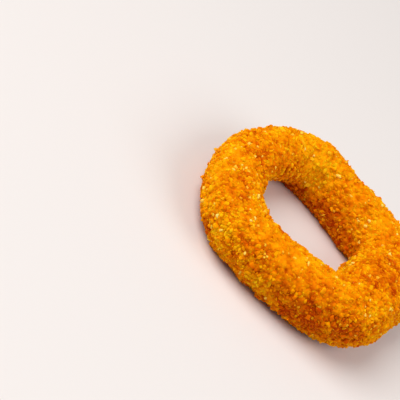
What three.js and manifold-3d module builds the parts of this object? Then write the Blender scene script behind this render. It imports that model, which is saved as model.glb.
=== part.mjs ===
// A breaded onion ring: one thick, uneven band of crumb-coated batter round an open hole.
// It lies on its underside, which is pressed flat where it rests.
//
// Millimetres, +Z up. The origin is under the middle of the ring, on the surface that it rests on.
// A place on the crust is given by two angles, in degrees: "around" goes round the ring from +X
// towards +Y, and "across" goes round the band's section, from 0 on the outer side, over the top
// at 90 and down the side of the hole at 180, to the underside at 270.

import * as THREE from "three";
import { mergeVertices } from "three/addons/utils/BufferGeometryUtils.js";
import Module from "manifold-3d";

// The band's middle line and section.
const RING_RADIUS = 26.5;
const BAND_WIDTH = 15.9;
const BAND_HEIGHT = 17.1;
const BAND_LEAN = 4.5; // degrees that the top leans away from the hole
const SECTION_POWER = 2.05; // 2 is an ellipse, and more is squarer
const UNDERSIDE_SINK = 0.5; // how much of the round underside is pressed flat

// The middle of the finished ring's outline, before the ring is moved to the origin.
const MIDDLE = { x: 1.73, y: -1.65 };

// How the band varies round the ring: each wave's repeats, its swing and where it peaks.
const RADIUS_WAVES = [
  { repeats: 2, swing: 0.9, peak: 50 },
  { repeats: 3, swing: 1.0, peak: 39 },
  { repeats: 4, swing: 1.6, peak: 49 },
  { repeats: 5, swing: 1.0, peak: 37 },
];
const WIDTH_WAVES = [
  { repeats: 1, swing: 4.5, peak: 323 },
  { repeats: 2, swing: 2.3, peak: 36 },
];
const HEIGHT_WAVES = [
  { repeats: 1, swing: 2.5, peak: 1 },
  { repeats: 2, swing: 0.6, peak: 157 },
  { repeats: 3, swing: 0.9, peak: 111 },
];
const UNDERSIDE_WAVES = [{ repeats: 2, swing: 0.18, peak: 45 }];

// Swellings and dips of the batter that give the ring its own form.
const SWELLS = [
  { around: 122, across: 84, reach: 4.5, height: 1.3 }, // shoulder on the far side's top
  { around: 198, across: 100, reach: 4.5, height: -1.6 }, // dip beside the crease
  { around: 355, across: 138, reach: 4.5, height: 1.5 }, // lobe that laps over the hole
  // The thick batter that fills the hole's narrow end.
  { around: 184, across: 140, reach: 5.5, height: 2.6 },
  { around: 164, across: 150, reach: 6.0, height: 2.4 },
  { around: 146, across: 165, reach: 6.5, height: 2.6 },
  { around: 126, across: 155, reach: 6.0, height: 1.2 },
];

// Folds of the batter: steps that lead from one place to another, the left side raised above the
// right. The width is the step's own, and the raised side sinks back over the reach.
const FOLDS = [
  // The crease over the ring's narrow end.
  { from: { around: 216, across: 140 }, to: { around: 199, across: 30 }, height: 3.4, width: 0.7, reach: 6 },
  // The edge of the lobe that laps over the hole.
  { from: { around: 22, across: 146 }, to: { around: 348, across: 166 }, height: 1.8, width: 0.8, reach: 4 },
];

// Low lumps all over the coat.
const LUMPS = { count: 260, reach: [1.5, 3.2], height: [-0.65, 0.7], seed: 11 };

// The finer crumb coat, as unevenness of the crust.
const ROUGHNESS = { swing: 0.22, seed: 17 };

// The largest crumbs, bedded in the batter.
const CRUMBS = { count: 185, radius: [0.65, 1.05], bedding: 0.25, clearance: 0.4, seed: 29 };

// Facets: sections round the ring, and points round each section.
const SECTIONS = 94;
const SECTION_POINTS = 26;

const FULL_TURN = 360;
const radians = THREE.MathUtils.degToRad;

// A repeatable stream of numbers from 0 up to 1.
function randomFrom(seed) {
  const MULTIPLIER = 48271;
  const MODULUS = 2147483647;
  let state = seed;
  return () => {
    state = (state * MULTIPLIER) % MODULUS;
    return state / MODULUS;
  };
}

function between([low, high], part) {
  return low + (high - low) * part;
}

function sumOfWaves(waves, around) {
  return waves.reduce(
    (sum, { repeats, swing, peak }) => sum + swing * Math.cos(radians(repeats * (around - peak))),
    0,
  );
}

// The same sum's slope, for each radian round the ring.
function slopeOfWaves(waves, around) {
  return waves.reduce(
    (sum, { repeats, swing, peak }) => sum - repeats * swing * Math.sin(radians(repeats * (around - peak))),
    0,
  );
}

// The middle line's place in plan, and the direction square to it, away from the hole.
function middleLine(around) {
  const radius = RING_RADIUS + sumOfWaves(RADIUS_WAVES, around);
  const slope = slopeOfWaves(RADIUS_WAVES, around);
  const cos = Math.cos(radians(around));
  const sin = Math.sin(radians(around));
  const alongX = slope * cos - radius * sin;
  const alongY = slope * sin + radius * cos;
  const length = Math.hypot(alongX, alongY);
  return { x: radius * cos, y: radius * sin, outX: alongY / length, outY: -alongX / length };
}

// A place on the band, with its relief standing out by "relief" from the plain section.
function bandPoint(around, across, relief = 0) {
  const width = BAND_WIDTH + sumOfWaves(WIDTH_WAVES, around);
  const height = BAND_HEIGHT + sumOfWaves(HEIGHT_WAVES, around);
  const lean = Math.tan(radians(BAND_LEAN));
  const cos = Math.cos(radians(across));
  const sin = Math.sin(radians(across));
  const corner = Math.abs(cos) ** SECTION_POWER + Math.abs(sin) ** SECTION_POWER;
  const squareness = corner ** (-1 / SECTION_POWER);
  const up = (squareness * height / 2 + relief) * sin;
  const out = (squareness * width / 2 + relief) * cos + up * lean;
  const sink = UNDERSIDE_SINK + sumOfWaves(UNDERSIDE_WAVES, around);
  const line = middleLine(around);
  return new THREE.Vector3(
    line.x + line.outX * out,
    line.y + line.outY * out,
    height / 2 + up - sink,
  );
}

// Any place on the band, each patch of crust as likely as another of its size.
function anyPlace(random) {
  const widest = RING_RADIUS + BAND_WIDTH;
  for (;;) {
    const around = FULL_TURN * random();
    const across = FULL_TURN * random();
    const spot = bandPoint(around, across);
    if (random() < Math.hypot(spot.x, spot.y) / widest) return { around, across, spot };
  }
}

// Evenly spread places: of several drawn, each time the one farthest from all those before it.
function spreadPlaces(count, random) {
  const DRAWS = 10;
  const places = [];
  while (places.length < count) {
    let farthest = { gap: -1 };
    for (let draw = 0; draw < DRAWS; draw += 1) {
      const place = anyPlace(random);
      const gap = Math.min(...places.map(({ spot }) => spot.distanceTo(place.spot)));
      if (gap > farthest.gap) farthest = { ...place, gap };
    }
    places.push(farthest);
  }
  return places;
}

function makeLumps() {
  const random = randomFrom(LUMPS.seed);
  return spreadPlaces(LUMPS.count, random).map(({ spot }) => ({
    spot,
    reach: between(LUMPS.reach, random()),
    height: between(LUMPS.height, random()),
  }));
}

const lumps = [
  ...makeLumps(),
  ...SWELLS.map((swell) => ({ ...swell, spot: bandPoint(swell.around, swell.across) })),
];

// A place on the crust in millimetres round the ring and up the band, from a starting place.
function unrolled(around, across, start) {
  const halfTurn = FULL_TURN / 2;
  const turn = THREE.MathUtils.euclideanModulo(around - start.around + halfTurn, FULL_TURN) - halfTurn;
  return new THREE.Vector2(radians(turn) * RING_RADIUS, radians(across - start.across) * BAND_HEIGHT / 2);
}

// How far the folds raise the crust at a place.
function foldRelief(around, across) {
  return FOLDS.reduce((sum, { from, to, height, width, reach }) => {
    const way = unrolled(to.around, to.across, from);
    const place = unrolled(around, across, from);
    const share = THREE.MathUtils.clamp(place.dot(way) / way.lengthSq(), 0, 1);
    const left = way.cross(place) / way.length();
    const ends = Math.sqrt(Math.sin(Math.PI * share));
    const step = (1 + Math.tanh(left / width)) / 2 * Math.exp(-Math.max(left, 0) / reach);
    return sum + height * step * ends;
  }, 0);
}

function crustPoint(around, across, roughness = 0) {
  const plain = bandPoint(around, across);
  const relief = lumps.reduce(
    (sum, { spot, reach, height }) => sum + height * Math.exp(-plain.distanceToSquared(spot) / reach ** 2),
    foldRelief(around, across),
  );
  const point = bandPoint(around, across, relief + roughness);
  point.z = Math.max(point.z, 0);
  return point;
}

// The band as a closed mesh: sections round the ring, joined into a tube that meets itself.
function makeCrust() {
  const random = randomFrom(ROUGHNESS.seed);
  const positions = [];
  for (let i = 0; i < SECTIONS; i += 1) {
    for (let j = 0; j < SECTION_POINTS; j += 1) {
      const around = (FULL_TURN * i) / SECTIONS;
      const across = (FULL_TURN * j) / SECTION_POINTS;
      const roughness = ROUGHNESS.swing * between([-1, 1], random());
      positions.push(...crustPoint(around, across, roughness).toArray());
    }
  }
  const corner = (i, j) => (i % SECTIONS) * SECTION_POINTS + (j % SECTION_POINTS);
  const faces = [];
  for (let i = 0; i < SECTIONS; i += 1) {
    for (let j = 0; j < SECTION_POINTS; j += 1) {
      faces.push(corner(i, j), corner(i + 1, j), corner(i + 1, j + 1));
      faces.push(corner(i, j), corner(i + 1, j + 1), corner(i, j + 1));
    }
  }
  const crust = new THREE.BufferGeometry();
  crust.setAttribute("position", new THREE.Float32BufferAttribute(positions, 3));
  crust.setIndex(faces);
  return crust;
}

// One angular crumb: an icosahedron with its corners moved in or out.
function makeCrumb(spot, radius, random) {
  const crumb = new THREE.IcosahedronGeometry(1, 0);
  crumb.deleteAttribute("normal");
  crumb.deleteAttribute("uv");
  const merged = mergeVertices(crumb);
  const corners = merged.getAttribute("position");
  const corner = new THREE.Vector3();
  for (let i = 0; i < corners.count; i += 1) {
    corner.fromBufferAttribute(corners, i).multiplyScalar(between([0.85, 1.15], random()));
    corners.setXYZ(i, ...corner.toArray());
  }
  const turn = new THREE.Euler(Math.PI * random(), Math.PI * random(), Math.PI * random());
  const stretch = new THREE.Vector3(1.2, 1.0, 0.85).multiplyScalar(radius);
  merged.applyMatrix4(new THREE.Matrix4().compose(spot, new THREE.Quaternion().setFromEuler(turn), stretch));
  return merged;
}

// Crumbs lie wherever they stay clear of the surface that the ring rests on.
function makeCrumbs() {
  const random = randomFrom(CRUMBS.seed);
  const crumbs = [];
  for (const { around, across } of spreadPlaces(CRUMBS.count, random)) {
    const radius = between(CRUMBS.radius, random());
    const spot = crustPoint(around, across, -CRUMBS.bedding * radius);
    const crumb = makeCrumb(spot, radius, random);
    crumb.computeBoundingBox();
    if (crumb.boundingBox.min.z > CRUMBS.clearance) crumbs.push(crumb);
  }
  return crumbs;
}

const wasm = await Module();
wasm.setup();

function solidFrom(geometry) {
  return new wasm.Manifold(
    new wasm.Mesh({
      numProp: 3,
      vertProperties: new Float32Array(geometry.getAttribute("position").array),
      triVerts: new Uint32Array(geometry.index.array),
    }),
  );
}

function geometryFrom(solid) {
  const { vertProperties, triVerts } = solid.getMesh();
  const geometry = new THREE.BufferGeometry();
  geometry.setAttribute("position", new THREE.BufferAttribute(vertProperties, 3));
  geometry.setIndex(new THREE.BufferAttribute(triVerts, 1));
  geometry.computeVertexNormals();
  return geometry;
}

// The crust with its crumbs joined on, as one body. Any pocket that they close off is filled.
function makeOnionRing() {
  const joined = makeCrumbs().reduce((solid, crumb) => solid.add(solidFrom(crumb)), solidFrom(makeCrust()));
  const bodies = joined.decompose();
  const whole = bodies.reduce((largest, body) => (body.volume() > largest.volume() ? body : largest));
  const ring = new THREE.Mesh(
    geometryFrom(whole),
    new THREE.MeshStandardMaterial({ color: 0xe0860f, roughness: 0.6, metalness: 0 }),
  );
  ring.name = "onion_ring";
  ring.position.set(-MIDDLE.x, -MIDDLE.y, 0);
  return ring;
}

const onionRing = new THREE.Group();
onionRing.add(makeOnionRing());

export default onionRing;
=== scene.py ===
"""A breaded onion ring on a pale floor: a lumpy crust of batter under a close coat of crumbs.

Metres, +Z up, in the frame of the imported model. A place on the crust is given by two angles in
degrees: "around" goes round the ring from +X towards +Y, and "across" goes round the band's
section, from 0 on the outer side, over the top at 90 and down the side of the hole at 180.
"""

import math

import bmesh
import bpy
import numpy as np
from mathutils import Matrix, Vector, noise


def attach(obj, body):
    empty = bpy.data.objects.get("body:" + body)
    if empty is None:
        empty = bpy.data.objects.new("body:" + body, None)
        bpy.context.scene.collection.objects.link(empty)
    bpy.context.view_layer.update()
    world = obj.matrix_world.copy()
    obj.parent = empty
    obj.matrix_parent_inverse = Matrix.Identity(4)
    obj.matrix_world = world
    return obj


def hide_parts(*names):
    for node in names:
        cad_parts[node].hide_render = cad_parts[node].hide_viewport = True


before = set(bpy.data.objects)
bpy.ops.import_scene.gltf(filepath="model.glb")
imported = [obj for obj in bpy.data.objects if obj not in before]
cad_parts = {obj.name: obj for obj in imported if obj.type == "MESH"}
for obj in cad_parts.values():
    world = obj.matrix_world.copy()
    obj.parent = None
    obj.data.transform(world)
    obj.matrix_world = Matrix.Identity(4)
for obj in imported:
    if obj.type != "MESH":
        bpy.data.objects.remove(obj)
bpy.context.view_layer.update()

MM = 0.001
FULL_TURN = 360.0
NODE = "onion_ring"
BODY = "root"

# ---------------------------------------------------------------- the ring's form, as in the solid

# The plain band. It leans out by so many degrees, its section is a superellipse of that power, and
# its underside sinks below the floor, where it is pressed flat.
RING_RADIUS = 26.5 * MM
BAND_WIDTH = 15.9 * MM
BAND_HEIGHT = 17.1 * MM
BAND_LEAN = 4.5
SECTION_POWER = 2.05
UNDERSIDE_SINK = 0.5 * MM

# The middle of the outline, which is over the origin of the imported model.
MIDDLE = (1.73 * MM, -1.65 * MM)

# Each wave: its repeats round the ring, its swing in millimetres, and where it peaks in degrees.
RADIUS_WAVES = ((2, 0.9, 50), (3, 1.0, 39), (4, 1.6, 49), (5, 1.0, 37))
WIDTH_WAVES = ((1, 4.5, 323), (2, 2.3, 36))
HEIGHT_WAVES = ((1, 2.5, 1), (2, 0.6, 157), (3, 0.9, 111))
UNDERSIDE_WAVES = ((2, 0.18, 45),)

# Swellings, or dents below 0: around and across, then reach and height in millimetres.
SWELLS = (
    (122, 84, 4.5, 1.3),
    (198, 100, 4.5, -1.6),
    (355, 138, 4.5, 1.5),
    (184, 140, 5.5, 2.6),
    (164, 150, 6.0, 2.4),
    (146, 165, 6.5, 2.6),
    (126, 155, 6.0, 1.2),
)

# Folds of the batter: steps that lead from one place to another, the left side raised above the
# right. Each: around and across at its two ends, then height, width and reach in millimetres.
FOLDS = (
    ((216, 140), (199, 30), 3.4, 0.7, 6.0),
    ((22, 146), (348, 166), 1.8, 0.8, 4.0),
)

# Small lumps and dents all over, with reach and height in millimetres.
LUMP_COUNT = 260
LUMP_REACH = (1.5, 3.2)
LUMP_HEIGHT = (-0.65, 0.7)
LUMP_SEED = 11

# The largest crumbs, with radii in millimetres. Those that don't clear the floor are left out.
COARSE_COUNT = 185
COARSE_RADIUS = (0.65, 1.05)
COARSE_BEDDING = 0.25
COARSE_CLEARANCE = 0.4 * MM
COARSE_SEED = 29

# The solid draws a number for each corner and turn of these crumbs, which here are only passed by.
COARSE_CORNERS = 12
COARSE_TURNS = 3

# The factor and the range of the solid's random numbers.
RANDOM_FACTOR = 48271
RANDOM_RANGE = 2147483647


def random_from(seed):
    """A repeatable stream of numbers from 0 up to 1, the same as the solid's."""
    state = seed
    while True:
        state = state * RANDOM_FACTOR % RANDOM_RANGE
        yield state / RANDOM_RANGE


def between(limits, part):
    return limits[0] + (limits[1] - limits[0]) * part


def sum_of_waves(waves, around):
    return sum(swing * np.cos(np.radians(repeats * (around - peak))) for repeats, swing, peak in waves)


def slope_of_waves(waves, around):
    """The same sum's slope, for each radian round the ring."""
    return sum(
        -repeats * swing * np.sin(np.radians(repeats * (around - peak)))
        for repeats, swing, peak in waves
    )


def middle_line(around):
    """The middle line's x and y, and the direction square to it, away from the hole."""
    radius = RING_RADIUS + MM * sum_of_waves(RADIUS_WAVES, around)
    slope = MM * slope_of_waves(RADIUS_WAVES, around)
    cos, sin = np.cos(np.radians(around)), np.sin(np.radians(around))
    along_x, along_y = slope * cos - radius * sin, slope * sin + radius * cos
    length = np.hypot(along_x, along_y)
    return radius * cos, radius * sin, along_y / length, -along_x / length


def band_points(around, across, relief=0.0):
    """Places on the band, as rows of x, y, z, with their relief standing out from the plain section."""
    width = BAND_WIDTH + MM * sum_of_waves(WIDTH_WAVES, around)
    height = BAND_HEIGHT + MM * sum_of_waves(HEIGHT_WAVES, around)
    lean = np.tan(np.radians(BAND_LEAN))
    cos, sin = np.cos(np.radians(across)), np.sin(np.radians(across))
    squareness = (np.abs(cos) ** SECTION_POWER + np.abs(sin) ** SECTION_POWER) ** (-1 / SECTION_POWER)
    up = (squareness * height / 2 + relief) * sin
    out = (squareness * width / 2 + relief) * cos + up * lean
    sink = UNDERSIDE_SINK + MM * sum_of_waves(UNDERSIDE_WAVES, around)
    x, y, out_x, out_y = middle_line(around)
    return np.stack([x + out_x * out, y + out_y * out, height / 2 + up - sink], axis=-1)


def any_place(random):
    """Any place on the band, each patch of crust roughly as likely as another of its size."""
    widest = RING_RADIUS + BAND_WIDTH
    while True:
        around, across = FULL_TURN * next(random), FULL_TURN * next(random)
        spot = band_points(around, across)
        if next(random) < math.hypot(spot[0], spot[1]) / widest:
            return around, across, spot


def spread_places(count, random):
    """Evenly spread places: of several drawn, each time the one farthest from all those before it."""
    draws = 10
    places, spots = [], np.full((count, 3), np.inf)
    while len(places) < count:
        drawn = [any_place(random) for _ in range(draws)]
        gaps = [np.linalg.norm(spots - spot, axis=1).min() for _, _, spot in drawn]
        farthest = drawn[int(np.argmax(gaps))]
        spots[len(places)] = farthest[2]
        places.append(farthest)
    return places


def make_lumps():
    """Every lump and swelling of the batter: its place, reach and height."""
    random = random_from(LUMP_SEED)
    lumps = []
    for _, _, spot in spread_places(LUMP_COUNT, random):
        reach = MM * between(LUMP_REACH, next(random))
        lumps.append((spot, reach, MM * between(LUMP_HEIGHT, next(random))))
    for around, across, reach, height in SWELLS:
        lumps.append((band_points(around, across), MM * reach, MM * height))
    return lumps


def nearest_turn(angle):
    """The same angle, taken from half a turn back to half a turn on."""
    return (angle + 1.5 * FULL_TURN) % FULL_TURN - FULL_TURN / 2


def fold_relief(around, across):
    """How far the folds raise the crust at a place."""
    relief = 0.0
    for (from_around, from_across), (to_around, to_across), height, width, reach in FOLDS:
        turns = (nearest_turn(angle - from_around) for angle in (around, to_around))
        along, way_along = (np.radians(turn) * RING_RADIUS / MM for turn in turns)
        up, way_up = (
            np.radians(angle - from_across) * BAND_HEIGHT / 2 / MM for angle in (across, to_across)
        )
        length = math.hypot(way_along, way_up)
        share = np.clip((along * way_along + up * way_up) / length**2, 0, 1)
        left = (up * way_along - along * way_up) / length
        ends = np.sqrt(np.sin(np.pi * share))
        step = height * (1 + np.tanh(left / width)) / 2 * np.exp(-np.maximum(left, 0) / reach)
        relief = relief + MM * step * ends
    return relief


LUMPS = make_lumps()


def crust_points(around, across, extra=0.0):
    """Places on the lumpy crust, pressed flat where it meets the floor."""
    plain = band_points(around, across)
    relief = fold_relief(around, across) + extra
    for spot, reach, height in LUMPS:
        relief = relief + height * np.exp(-((plain - spot) ** 2).sum(axis=-1) / reach**2)
    points = band_points(around, across, relief)
    points[..., 2] = np.maximum(points[..., 2], 0.0)
    return points


def in_row_frame(points):
    """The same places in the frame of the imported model."""
    return points - np.array([MIDDLE[0], MIDDLE[1], 0.0])


# ---------------------------------------------------------------- meshes and patterns

# How far a pattern moves along x, y and z for each unit of its seed.
SEED_STEPS = (1.0, 1.7, 2.3)

# A granule's relief before it is scaled: its height in the middle, and how steeply it falls away.
GRANULE_TOP = 0.5
GRANULE_STEEPNESS = 1.6


def mesh_object(name, points, faces, attributes=None):
    """A smooth-shaded mesh from arrays. Attributes hold one number for each point."""
    mesh = bpy.data.meshes.new(name)
    mesh.vertices.add(len(points))
    mesh.vertices.foreach_set("co", points.astype(np.float32).ravel())
    mesh.loops.add(faces.size)
    mesh.loops.foreach_set("vertex_index", faces.astype(np.int32).ravel())
    mesh.polygons.add(len(faces))
    mesh.polygons.foreach_set("loop_start", np.arange(0, faces.size, faces.shape[1], dtype=np.int32))
    mesh.update(calc_edges=True)
    mesh.shade_smooth()
    for attribute_name, values in (attributes or {}).items():
        attribute = mesh.attributes.new(attribute_name, "FLOAT", "POINT")
        attribute.data.foreach_set("value", values.astype(np.float32))
    piece = bpy.data.objects.new(name, mesh)
    bpy.context.scene.collection.objects.link(piece)
    return piece


def pattern_at(points, size, seed, pattern):
    """A pattern's value at each place, with features of that size."""
    shift = Vector([step * seed for step in SEED_STEPS])
    values = [pattern(Vector(point) / size + shift) for point in points.reshape(-1, 3)]
    return np.array(values).reshape(points.shape[:-1])


def noise_at(points, size, seed):
    """Smooth noise from about -1 to 1."""
    return pattern_at(points, size, seed, noise.noise)


def granule(place):
    """A bump round each seed of a cell pattern, highest on the seed."""
    distances, _ = noise.voronoi(place)
    return GRANULE_TOP - GRANULE_STEEPNESS * distances[0] ** 2


# ---------------------------------------------------------------- how the coat varies

# Painted shade makes the coat browner low down, where less light reaches. At places it is painted paler
# where light falls and browner where shade falls, partly also uneven toasting: around and across, then
# reach in millimetres and the change, where 1 is the whole range of its colours.
PAINTED_SHADE_BELOW = 10.0 * MM
PAINTED_SHADE_DEPTH = 0.4
PAINTED_LIGHT_AND_TOASTING = (
    # Towards +Y, on the side of the hole.
    (134, 146, 6.0, 0.5),
    (112, 162, 5.0, 0.8),
    (96, 186, 4.0, -0.2),
    (124, 198, 6.0, -0.2),
    (100, 206, 5.0, -0.1),
    (68, 164, 6.0, 0.3),
    (79, 194, 4.0, -0.3),
    (100, 140, 5.0, -0.25),
    (120, 154, 3.0, 0.4),
    # Towards -Y, on the outer side and on top.
    (250, 340, 6.0, 0.5),
    (229, 352, 5.0, 0.3),
    (240, 20, 4.0, 0.35),
    (237, 54, 5.0, -0.3),
    (257, 28, 4.0, -0.2),
    (254, 12, 5.0, -0.1),
    (269, 42, 5.0, -0.2),
    (286, 70, 4.0, 0.4),
    (298, 18, 5.0, -0.3),
    (290, 38, 4.0, -0.25),
    (312, 8, 7.0, -0.4),
    (270, 330, 5.0, 0.3),
    # Towards +X, from the outer side over the top to the hole.
    (338, 88, 8.0, -0.35),
    (356, 122, 5.0, -0.25),
    (342, 122, 3.0, 0.3),
    (348, 150, 4.0, 0.3),
    (312, 54, 4.0, 0.15),
    (330, 62, 4.0, 0.3),
    # Towards -X, beside the large fold.
    (203, 105, 5.0, -0.5),
    (190, 124, 4.0, -0.3),
    (193, 140, 3.0, 0.4),
    (216, 80, 5.0, 0.15),
    # Low on the outer side, with two small brown spots last.
    (291, 346, 5.0, 0.15),
    (313, 326, 6.0, 0.25),
    (294, 338, 2.0, -0.9),
    (303, 354, 2.0, -0.9),
)

# Crumbs are bedded deeper on top and in patches, where the coat is smoother: as a share of their
# radius, first by chance and with height, then at places with around, across, reach and share.
SMOOTH_PATCH = 9.0 * MM
SMOOTH_PATCH_SEED = 5.0
SMOOTH_PATCH_DEPTH = 0.2
SMOOTH_TOP_DEPTH = 0.1
SMOOTH_TOP = (6.0 * MM, 15.0 * MM)
SMOOTH_PLACES = (
    (256, 76, 7.0, 0.12),
    (273, 74, 6.0, 0.15),
    (96, 94, 10.0, 0.12),
    (80, 188, 6.0, 0.15),
    (290, 25, 8.0, 0.12),
    (246, 6, 8.0, -0.25),
    (353, 144, 7.0, -0.2),
    (322, 18, 9.0, -0.15),
    (162, 160, 6.0, -0.15),
)


def changes_near(places, points):
    """The sum of the changes that the places make to points near them."""
    total = 0.0
    for around, across, reach, change in places:
        spot = in_row_frame(band_points(around, across))
        total = total + change * np.exp(-((points - spot) ** 2).sum(axis=-1) / (MM * reach) ** 2)
    return total


def painted_light_and_toasting(points):
    """Painted light and shade, partly toasting: how much paler the coat is, or browner below 0, in
    shares of its colours.
    """
    low_down = np.clip(1 - points[..., 2] / PAINTED_SHADE_BELOW, 0, 1)
    return changes_near(PAINTED_LIGHT_AND_TOASTING, points) - PAINTED_SHADE_DEPTH * low_down


def smoothness(points):
    """How much deeper crumbs are bedded at places, as a share of their radius."""
    patches = noise_at(points, SMOOTH_PATCH, SMOOTH_PATCH_SEED)
    low, high = SMOOTH_TOP
    top = np.clip((points[..., 2] - low) / (high - low), 0, 1)
    return SMOOTH_PATCH_DEPTH * patches + SMOOTH_TOP_DEPTH * top + changes_near(SMOOTH_PLACES, points)


# ---------------------------------------------------------------- the crust

# The steps of its mesh, round the ring and round the section.
AROUND_STEPS = 560
ACROSS_STEPS = 178

# Its fine relief: smooth unevenness, and close-packed granules. Each: size, height and seed.
UNEVENNESS = ((3.0 * MM, 0.38 * MM, 3.0), (1.6 * MM, 0.30 * MM, 7.0))
GRANULES = ((1.25 * MM, 0.5 * MM, 21.0), (0.8 * MM, 0.22 * MM, 33.0))

# How much lower the granules are where the coat is smoother, and how far above the floor the crust
# ends, so that it rests on crumbs.
GRANULES_SUNK = 0.8
PRESSED = 0.12 * MM

# Its shade, as a share of its range of colours, and how smoothness and granules change that. The
# granules bring painted shade into the gaps between them and paler colour onto their tops.
CRUST_SHADE = 0.48
SMOOTH_SHADE = 0.5
GRANULE_PAINTED_SHADE = 0.6 / MM


def make_crust():
    """The batter itself, as a closed tube that meets itself round the ring."""
    around = np.arange(AROUND_STEPS) * FULL_TURN / AROUND_STEPS
    across = np.arange(ACROSS_STEPS) * FULL_TURN / ACROSS_STEPS
    around, across = np.meshgrid(around, across, indexing="ij")
    plain = band_points(around, across)
    uneven_by = sum(height * noise_at(plain, size, seed) for size, height, seed in UNEVENNESS)
    granules = sum(height * pattern_at(plain, size, seed, granule) for size, height, seed in GRANULES)
    granules *= np.clip(1 - GRANULES_SUNK * smoothness(in_row_frame(plain)), 0, None)
    points = in_row_frame(crust_points(around, across, uneven_by + granules))
    points[..., 2] = np.maximum(points[..., 2], PRESSED)
    i, j = np.meshgrid(np.arange(AROUND_STEPS), np.arange(ACROSS_STEPS), indexing="ij")
    next_i, next_j = (i + 1) % AROUND_STEPS, (j + 1) % ACROSS_STEPS
    corners = [
        a * ACROSS_STEPS + b for a, b in ((i, j), (next_i, j), (next_i, next_j), (i, next_j))
    ]
    faces = np.stack(corners, axis=-1).reshape(-1, 4)
    points = points.reshape(-1, 3)
    # The crust's shade takes the painted light and shade at places and low down.
    shade = CRUST_SHADE + SMOOTH_SHADE * smoothness(points) + painted_light_and_toasting(points)
    # Painted shade: darker in the gaps between granules, paler on their tops.
    shade += GRANULE_PAINTED_SHADE * granules.ravel()
    return mesh_object("crust", points, faces, {"shade": shade})


# ---------------------------------------------------------------- crumbs

CRUMB_SEED = 41

# A crumb's shape, in shares of its radius: how far from its middle the cuts are, how rough it is,
# and the size and seeds of that roughness. Each crumb is then stretched along three directions.
SHAPES_PER_KIND = 12
SHAPE_CUTS = 9
CUT_DISTANCE = (0.45, 0.9)
CRUMB_ROUGHNESS = 0.45
CRUMB_GRAIN = 0.6
GRAIN_SEEDS = (0.0, 360.0)
STRETCH = (0.62, 1.35)

# The limits of a crumb's own shade, as a share of its kind's range of colours.
SHADES = (0.25, 0.8)

# Each kind: how many are tried, limits of the radius in millimetres, roundness (1 is 20 triangles,
# 2 is 80, 3 is 320), how deep it is bedded in the crust as a share of its radius, and how much
# of the coat's smoothness is added to that depth.
KINDS = {
    "crumbs_pale": dict(count=480, radius=(0.34, 0.66), roundness=2, bedding=0.25, follows=0.8),
    "crumbs_golden": dict(count=2350, radius=(0.45, 0.95), roundness=2, bedding=0.48, follows=0.6),
    "crumbs_honey": dict(count=2350, radius=(0.40, 0.88), roundness=2, bedding=0.42, follows=0.9),
    "crumbs_amber": dict(count=2350, radius=(0.40, 0.88), roundness=2, bedding=0.48, follows=0.9),
    "crumbs_fine": dict(count=7400, radius=(0.22, 0.40), roundness=1, bedding=0.2, follows=1.0),
}
COARSE_ROUNDNESS = 3

# How close the middles of two crumbs may be, as a share of their radii together, and how many
# places are tried for each crumb.
CLOSENESS = 0.58
TRIES = 14

# A crumb's middle is at least its radius below this, which keeps the whole about as high as the
# solid.
HIGHEST = 21.2 * MM


def crumb_shape(rng, roundness):
    """One irregular crumb of radius about 1: a ball with flat cuts taken off it, then roughened."""
    ball = bmesh.new()
    bmesh.ops.create_icosphere(ball, subdivisions=roundness, radius=1.0)
    points = np.array([vertex.co for vertex in ball.verts])
    faces = np.array([[vertex.index for vertex in face.verts] for face in ball.faces])
    ball.free()
    for _ in range(SHAPE_CUTS):
        direction = rng.normal(size=3)
        direction /= np.linalg.norm(direction)
        distance = rng.uniform(*CUT_DISTANCE)
        beyond = np.maximum(points @ direction - distance, 0)
        points -= beyond[:, None] * direction
    points *= 1 + CRUMB_ROUGHNESS * noise_at(points, CRUMB_GRAIN, rng.uniform(*GRAIN_SEEDS))[:, None]
    return points, faces


def random_turns(rng, count):
    """Random rotation matrices, from random unit quaternions."""
    quaternions = rng.normal(size=(4, count))
    w, x, y, z = quaternions / np.linalg.norm(quaternions, axis=0)
    rows = [
        [1 - 2 * (y * y + z * z), 2 * (x * y - w * z), 2 * (x * z + w * y)],
        [2 * (x * y + w * z), 1 - 2 * (x * x + z * z), 2 * (y * z - w * x)],
        [2 * (x * z - w * y), 2 * (y * z + w * x), 1 - 2 * (x * x + y * y)],
    ]
    return np.array(rows).transpose(2, 0, 1)


class Surface:
    """The crust's triangles, to draw places on."""

    def __init__(self, crust):
        mesh = crust.data
        mesh.calc_loop_triangles()
        points = np.zeros(len(mesh.vertices) * 3)
        mesh.vertices.foreach_get("co", points)
        normals = np.zeros(len(mesh.vertices) * 3)
        mesh.vertices.foreach_get("normal", normals)
        corners = np.zeros(len(mesh.loop_triangles) * 3, dtype=np.int32)
        mesh.loop_triangles.foreach_get("vertices", corners)
        corners = corners.reshape(-1, 3)
        self.points = points.reshape(-1, 3)[corners]
        self.normals = normals.reshape(-1, 3)[corners]
        sides = self.points[:, 1:] - self.points[:, :1]
        areas = np.linalg.norm(np.cross(sides[:, 0], sides[:, 1]), axis=1)
        self.chances = areas / areas.sum()

    def draw(self, rng, count):
        """Random places, each patch as likely as another of its size, with their normals."""
        triangles = rng.choice(len(self.chances), size=count, p=self.chances)
        shares = rng.dirichlet((1, 1, 1), size=count)[..., None]
        points = (self.points[triangles] * shares).sum(axis=1)
        normals = (self.normals[triangles] * shares).sum(axis=1)
        return points, normals / np.linalg.norm(normals, axis=1, keepdims=True)


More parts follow.
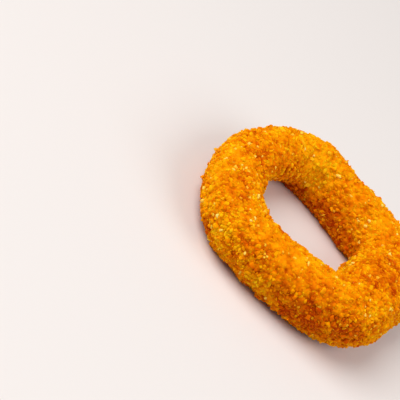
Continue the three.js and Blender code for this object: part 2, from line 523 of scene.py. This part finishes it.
class Packing:
    """Keeps crumbs from piling up: a new one must stay clear of all those before it."""

    # Crumbs are looked up in boxes of this size, wider than any two crumbs have to be apart.
    CELL = 2.0 * MM

    def __init__(self):
        self.cells = {}

    def cell(self, point):
        return tuple(int(math.floor(value / self.CELL)) for value in point)

    def neighbours(self, point):
        x, y, z = self.cell(point)
        steps = (-1, 0, 1)
        for cell in ((x + a, y + b, z + c) for a in steps for b in steps for c in steps):
            yield from self.cells.get(cell, ())

    def fits(self, point, radius):
        px, py, pz = point
        for x, y, z, other in self.neighbours(point):
            reach = CLOSENESS * (radius + other)
            if (px - x) ** 2 + (py - y) ** 2 + (pz - z) ** 2 < reach * reach:
                return False
        return True

    def add(self, point, radius):
        self.cells.setdefault(self.cell(point), []).append((*point, radius))


def coarse_places():
    """The places and sizes of the largest crumbs, as in the solid."""
    random = random_from(COARSE_SEED)
    places = []
    for around, across, _ in spread_places(COARSE_COUNT, random):
        radius = MM * between(COARSE_RADIUS, next(random))
        for _ in range(COARSE_CORNERS + COARSE_TURNS):
            next(random)
        spot = crust_points(np.array(around), np.array(across), -COARSE_BEDDING * radius)
        if spot[2] - radius > COARSE_CLEARANCE:
            places.append((in_row_frame(spot), radius))
    return places


def pack_crumbs(surface, rng):
    """Places for every kind of crumb, largest first: rows of x, y, z and radius for each kind."""
    packing = Packing()
    coarse = coarse_places()
    for point, radius in coarse:
        packing.add(point, radius)
    wanted = [
        (radius * MM, kind)
        for kind, facts in KINDS.items()
        for radius in rng.uniform(*facts["radius"], size=facts["count"])
    ]
    wanted.sort(reverse=True)
    points, normals = surface.draw(rng, len(wanted) * TRIES)
    depths = smoothness(points)
    placed = {kind: [] for kind in KINDS}
    for number, (radius, kind) in enumerate(wanted):
        for draw in range(number * TRIES, (number + 1) * TRIES):
            depth = KINDS[kind]["bedding"] + KINDS[kind]["follows"] * depths[draw]
            point = points[draw] - normals[draw] * depth * radius
            if point[2] + radius < HIGHEST and packing.fits(point, radius):
                packing.add(point, radius)
                placed[kind].append((*point, radius))
                break
    rows = {kind: np.array(spots) for kind, spots in placed.items()}
    rows["crumbs_coarse"] = np.array([(*point, radius) for point, radius in coarse])
    return rows


def crumb_piece(name, rows, roundness, rng):
    """All the crumbs of one kind as one mesh, each with its own shape, turn, stretch and shade.

    What would reach below the floor is pressed flat on it.
    """
    shapes = [crumb_shape(rng, roundness) for _ in range(SHAPES_PER_KIND)]
    faces = shapes[0][1]
    chosen = rng.integers(SHAPES_PER_KIND, size=len(rows))
    stretch = rng.uniform(*STRETCH, size=(len(rows), 3)) * rows[:, 3:]
    points = np.array([points for points, _ in shapes])[chosen] * stretch[:, None, :]
    points = np.einsum("nij,nkj->nki", random_turns(rng, len(rows)), points) + rows[:, None, :3]
    points[..., 2] = np.maximum(points[..., 2], 0.0)
    corners_each = points.shape[1]
    all_faces = faces[None] + corners_each * np.arange(len(rows))[:, None, None]
    # Each crumb takes the painted light and shade of the coat where it sits.
    shade = rng.uniform(*SHADES, size=len(rows)) + painted_light_and_toasting(rows[:, :3])
    shade = np.repeat(shade, corners_each)
    return mesh_object(name, points.reshape(-1, 3), all_faces.reshape(-1, 3), {"shade": shade})


# ---------------------------------------------------------------- materials

# Fried crumb is nearly matt, and light goes a little way into it, red light the farthest.
ROUGHNESS = 0.55
REFRACTION = 1.4
SPECULAR = 0.02
TRANSLUCENCY = 0.6
GLOW_DEPTH = 0.8 * MM
GLOW_BY_COLOUR = (1.0, 0.6, 0.15)

# Uneven toasting: the size of the patches, and how far they shift the shade. The renderer's noise
# is taken to lie within NOISE_RANGE.
PATCHES = ((7.0 * MM, 0.2), (2.4 * MM, 0.3))
PATCH_DETAIL = 2.0
NOISE_RANGE = (0.3, 0.7)

# Colours from brown to pale for each piece, as the screen shows them.
PALETTES = {
    "crust": ((176, 62, 0), (228, 124, 0), (248, 160, 4)),
    "crumbs_coarse": ((214, 104, 0), (242, 150, 2), (254, 186, 24)),
    "crumbs_pale": ((240, 156, 16), (253, 192, 56), (255, 214, 106)),
    "crumbs_golden": ((210, 98, 0), (244, 155, 0), (255, 188, 14)),
    "crumbs_honey": ((202, 88, 0), (238, 143, 0), (252, 177, 8)),
    "crumbs_amber": ((190, 72, 0), (228, 125, 0), (248, 163, 4)),
    "crumbs_fine": ((204, 88, 0), (238, 141, 0), (252, 175, 8)),
}


def linear(red, green, blue):
    """A colour as the screen shows it, in sRGB from 0 to 255, in the renderer's linear terms."""
    values = (value / 255 for value in (red, green, blue))
    return (*(v / 12.92 if v < 0.04045 else ((v + 0.055) / 1.055) ** 2.4 for v in values), 1.0)


def new_material(name):
    """A new material, with its nodes and links."""
    material = bpy.data.materials.new(name)
    material.use_nodes = True
    return material, material.node_tree.nodes, material.node_tree.links


def colour_ramp(nodes, colours):
    """A ramp through the colours, evenly spaced from 0 to 1."""
    ramp = nodes.new("ShaderNodeValToRGB")
    elements = ramp.color_ramp.elements
    while len(elements) < len(colours):
        elements.new(0.5)
    for number, (element, colour) in enumerate(zip(elements, colours)):
        element.position = number / (len(colours) - 1)
        element.color = linear(*colour)
    return ramp


def uneven(nodes, links, size, swing):
    """A smooth pattern of patches of that size, from -swing to swing."""
    place = nodes.new("ShaderNodeTexCoord")
    patches = nodes.new("ShaderNodeTexNoise")
    patches.inputs["Scale"].default_value = 1 / size
    patches.inputs["Detail"].default_value = PATCH_DETAIL
    links.new(place.outputs["Object"], patches.inputs["Vector"])
    swings = nodes.new("ShaderNodeMapRange")
    swings.inputs["From Min"].default_value, swings.inputs["From Max"].default_value = NOISE_RANGE
    swings.inputs["To Min"].default_value = -swing
    swings.inputs["To Max"].default_value = swing
    links.new(patches.outputs["Fac"], swings.inputs["Value"])
    return swings.outputs["Result"]


def toasted_material(name, colours):
    """Fried crumb: coloured brown to pale by the mesh's own shade, painted light and shade included,
    unevenly toasted.
    """
    material, nodes, links = new_material(name)
    shader = nodes["Principled BSDF"]
    shader.inputs["Roughness"].default_value = ROUGHNESS
    shader.inputs["IOR"].default_value = REFRACTION
    shader.inputs["Specular IOR Level"].default_value = SPECULAR
    shader.inputs["Subsurface Weight"].default_value = TRANSLUCENCY
    shader.inputs["Subsurface Radius"].default_value = GLOW_BY_COLOUR
    shader.inputs["Subsurface Scale"].default_value = GLOW_DEPTH
    attribute = nodes.new("ShaderNodeAttribute")
    attribute.attribute_name = "shade"
    shade = attribute.outputs["Fac"]
    for size, swing in PATCHES:
        total = nodes.new("ShaderNodeMath")
        total.operation = "ADD"
        links.new(shade, total.inputs[0])
        links.new(uneven(nodes, links, size, swing), total.inputs[1])
        shade = total.outputs["Value"]
    ramp = colour_ramp(nodes, colours)
    links.new(shade, ramp.inputs["Fac"])
    links.new(ramp.outputs["Color"], shader.inputs["Base Color"])
    return material


# ---------------------------------------------------------------- floor, lights and camera

# Where the camera stands, and where it sees the middle of the ring. The focal length and the aim
# are in pixels of an image PHOTO_SIZE wide.
PHOTO_SIZE = 400
FOCAL_LENGTH = 1359
ELEVATION = 29.4
ROLL = 50.1
DISTANCE = 371.3 * MM
AIM_HEIGHT = 8.0 * MM
AIM_PIXEL = (309.6, 229.5)
SENSOR_WIDTH = 36.0
NEAREST_SEEN = 0.01

FLOOR_SIZE = 12.0
FLOOR_COLOUR = (226, 221, 219)
FLOOR_ROUGHNESS = 0.6

# Each light: degrees from +X towards +Y, degrees up, size in metres and power in watts.
LIGHTS = {
    "key": (208, 50, 1.2, 15.2),
    "back": (0, 44, 1.0, 6.4),
}
LIGHT_DISTANCE = 1.2
LIGHT_COLOUR = (1.0, 0.98, 0.96)
WORLD_COLOUR = (1.0, 0.985, 0.975, 1.0)
WORLD_STRENGTH = 0.3


def make_floor():
    side = FLOOR_SIZE / 2
    corners = np.array([(-side, -side, 0), (side, -side, 0), (side, side, 0), (-side, side, 0)])
    floor = mesh_object("floor", corners, np.array([[0, 1, 2, 3]]))
    material, nodes, _ = new_material("pale_floor")
    nodes["Principled BSDF"].inputs["Base Color"].default_value = linear(*FLOOR_COLOUR)
    nodes["Principled BSDF"].inputs["Roughness"].default_value = FLOOR_ROUGHNESS
    floor.data.materials.append(material)
    return floor


def add_light(name, azimuth, elevation, size, power):
    """A soft round light that faces the ring."""
    data = bpy.data.lights.new(name, "AREA")
    data.shape = "DISK"
    data.size = size
    data.energy = power
    data.color = LIGHT_COLOUR
    light = bpy.data.objects.new(name, data)
    bpy.context.scene.collection.objects.link(light)
    level, upright = math.cos(math.radians(elevation)), math.sin(math.radians(elevation))
    turn = math.radians(azimuth)
    towards = Vector((level * math.cos(turn), level * math.sin(turn), upright))
    light.location = towards * LIGHT_DISTANCE
    light.rotation_euler = towards.to_track_quat("Z", "Y").to_euler()


def make_lights():
    for name, facts in LIGHTS.items():
        add_light(name, *facts)
    world = bpy.data.worlds.new("studio")
    world.use_nodes = True
    background = world.node_tree.nodes["Background"]
    background.inputs["Color"].default_value = WORLD_COLOUR
    background.inputs["Strength"].default_value = WORLD_STRENGTH
    bpy.context.scene.world = world


def make_camera():
    """A rolled camera, turned so that the middle of the ring falls on AIM_PIXEL."""
    elevation, roll = math.radians(ELEVATION), math.radians(ROLL)
    back = Vector((0, -math.cos(elevation), math.sin(elevation)))
    level = Vector((1, 0, 0))
    upright = Vector((0, math.sin(elevation), math.cos(elevation)))
    right = math.cos(roll) * level + math.sin(roll) * upright
    up = math.cos(roll) * upright - math.sin(roll) * level
    beside = (AIM_PIXEL[0] - PHOTO_SIZE / 2) / FOCAL_LENGTH
    above = (PHOTO_SIZE / 2 - AIM_PIXEL[1]) / FOCAL_LENGTH
    ahead = (-back - right * beside - up * above).normalized()
    right = (right - ahead * right.dot(ahead)).normalized()
    up = right.cross(ahead)
    data = bpy.data.cameras.new("camera")
    data.sensor_width = SENSOR_WIDTH
    data.lens = FOCAL_LENGTH * SENSOR_WIDTH / PHOTO_SIZE
    data.clip_start = NEAREST_SEEN
    camera = bpy.data.objects.new("camera", data)
    aim = Vector((-MIDDLE[0], -MIDDLE[1], AIM_HEIGHT))
    turn = Matrix((right, up, -ahead)).transposed().to_4x4()
    camera.matrix_world = Matrix.Translation(aim + back * DISTANCE) @ turn
    bpy.context.scene.collection.objects.link(camera)
    bpy.context.scene.camera = camera


# ---------------------------------------------------------------- the whole


def dress(piece, material):
    """Gives a piece its material, and lets it stand in for the solid."""
    piece.data.materials.append(material)
    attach(piece, BODY)
    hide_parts(NODE)


def main():
    rng = np.random.default_rng(CRUMB_SEED)
    crust = make_crust()
    dress(crust, toasted_material("batter", PALETTES["crust"]))
    rows = pack_crumbs(Surface(crust), rng)
    for name, spots in rows.items():
        roundness = KINDS[name]["roundness"] if name in KINDS else COARSE_ROUNDNESS
        piece = crumb_piece(name, spots, roundness, rng)
        dress(piece, toasted_material(name, PALETTES[name]))
    make_floor()
    make_lights()
    make_camera()
    bpy.context.scene.view_settings.view_transform = "Standard"


main()
